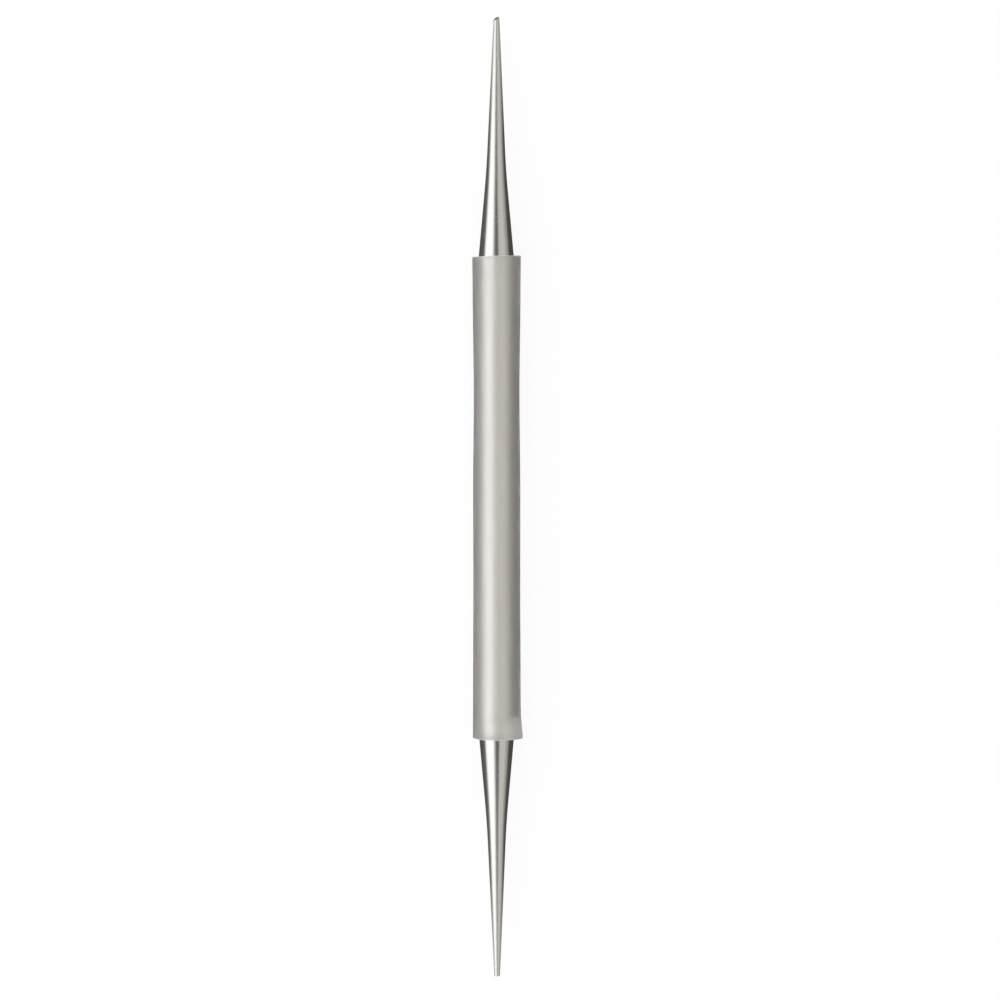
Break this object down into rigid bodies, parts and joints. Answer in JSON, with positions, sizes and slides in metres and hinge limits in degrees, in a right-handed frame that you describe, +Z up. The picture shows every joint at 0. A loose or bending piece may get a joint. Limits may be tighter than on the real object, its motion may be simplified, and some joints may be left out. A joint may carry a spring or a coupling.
{
  "type": "double-ended cuticle pusher",
  "caption": "Slim double-ended cuticle pusher: tapered round steel points at both ends of a hollow steel handle, with a frosted silicone sleeve as its grip.",
  "frame": {"origin": "under the middle of the tool's length, on the surface it lies on", "axes": "+Y along the tool towards the upper point, +Z up from the surface it lies on, +X across the tool"},
  "size_m": [0.007, 0.14, 0.0069],
  "materials": {
    "polished_steel": "turned and polished stainless steel",
    "drawn_steel": "drawn stainless steel tube, satin",
    "frosted_silicone": "frosted translucent silicone, matt"
  },
  "bodies": {
    "shaft": {"upper_tip": "polished_steel", "lower_tip": "polished_steel", "core_tube": "drawn_steel"},
    "grip": {"silicone_sleeve": "frosted_silicone"}
  },
  "joints": [
    {"name": "sleeve_slide", "type": "slide", "parent": "shaft", "child": "grip", "axis": [0, 1, 0], "range_m": [-0.106, 0.106]}
  ]
}
